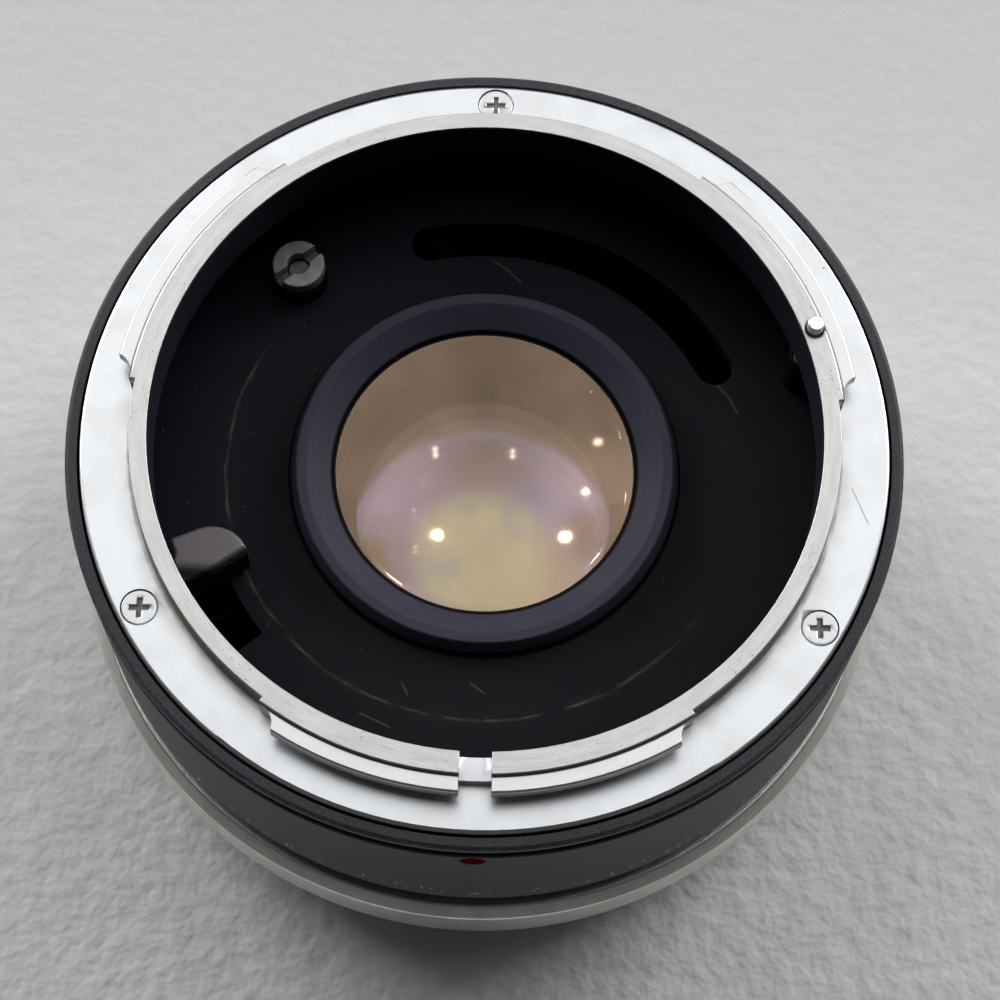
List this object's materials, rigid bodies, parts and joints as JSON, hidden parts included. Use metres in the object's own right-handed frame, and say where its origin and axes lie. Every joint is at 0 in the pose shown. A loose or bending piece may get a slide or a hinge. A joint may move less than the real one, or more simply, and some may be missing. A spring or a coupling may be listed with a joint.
{
  "type": "camera teleconverter",
  "caption": "Short round teleconverter with a bayonet lens mount in front, a glass cell, lever couplers that pass aperture movements, and a turning breech-lock ring at the rear.",
  "frame": {"origin": "on the optical axis, at the end of the rear guard that the part stands on", "axes": "+Z along the optical axis towards the lens, -Y through the index slot"},
  "size_m": [0.0622, 0.0622, 0.0318],
  "materials": {
    "black_barrel": "black anodised, fine matte grain",
    "black_inner": "matte black anodised",
    "satin_chrome": "satin chrome plate on brass",
    "steel": "bright turned steel",
    "dark_steel": "grey blasted steel",
    "brass": "plain turned brass",
    "coated_glass": "coated optical glass",
    "red_enamel": "dark red enamel fill"
  },
  "bodies": {
    "body": {"barrel": "black_barrel", "front_mount": "satin_chrome", "front_mount_screws": "steel", "index_dot": "red_enamel", "baffle_plate": "black_inner", "front_retainer": "black_inner", "lens_cell": "black_inner", "front_element": "coated_glass", "second_element": "coated_glass", "third_element": "coated_glass", "rear_element": "coated_glass", "front_spacer": "black_inner", "rear_spacer": "black_inner", "rear_retainer": "black_inner", "core_frame": "black_inner", "core_screws": "steel", "coupler_spacer": "brass", "coupler_circlip": "steel", "rear_mount": "satin_chrome", "rear_mount_screws": "steel", "rear_guard": "black_inner", "well_plate": "black_inner", "positioning_pin": "steel", "ring_stop_pin": "steel", "pin_bush": "black_inner", "pin_spring": "steel", "rod_spring": "steel", "stop_down_spring": "steel", "signal_spring": "steel"},
    "locking_ring": {"breech_ring": "satin_chrome"},
    "stop_down_coupler": {"stop_down_ring": "dark_steel", "stop_down_finger": "dark_steel", "stop_down_lever": "dark_steel"},
    "signal_coupler": {"signal_ring": "dark_steel", "signal_tab": "black_inner", "signal_lever": "dark_steel"},
    "signal_plunger": {"signal_rod": "steel", "signal_nut": "dark_steel"},
    "seat_plunger": {"seat_pin": "steel"}
  },
  "joints": [
    {"name": "lock_turn", "type": "hinge", "parent": "body", "child": "locking_ring", "pos_m": [0, 0, 0.0077], "axis": [0, 0, -1], "range_deg": [0, 60]},
    {"name": "stop_down_turn", "type": "hinge", "parent": "body", "child": "stop_down_coupler", "pos_m": [0, 0, 0.0157], "axis": [0, 0, 1], "range_deg": [0, 12], "stiffness_Nm_per_rad": 0.004, "deforming": ["stop_down_spring"]},
    {"name": "signal_turn", "type": "hinge", "parent": "body", "child": "signal_coupler", "pos_m": [0, 0, 0.0191], "axis": [0, 0, -1], "range_deg": [0, 70], "stiffness_Nm_per_rad": 0.002, "deforming": ["signal_spring"]},
    {"name": "signal_press", "type": "slide", "parent": "body", "child": "signal_plunger", "axis": [0, 0, -1], "range_m": [0, 0.002], "stiffness_N_per_m": 200, "deforming": ["rod_spring"]},
    {"name": "seat_press", "type": "slide", "parent": "body", "child": "seat_plunger", "axis": [0, 0, -1], "range_m": [0, 0.0008], "stiffness_N_per_m": 300, "deforming": ["pin_spring"]}
  ]
}
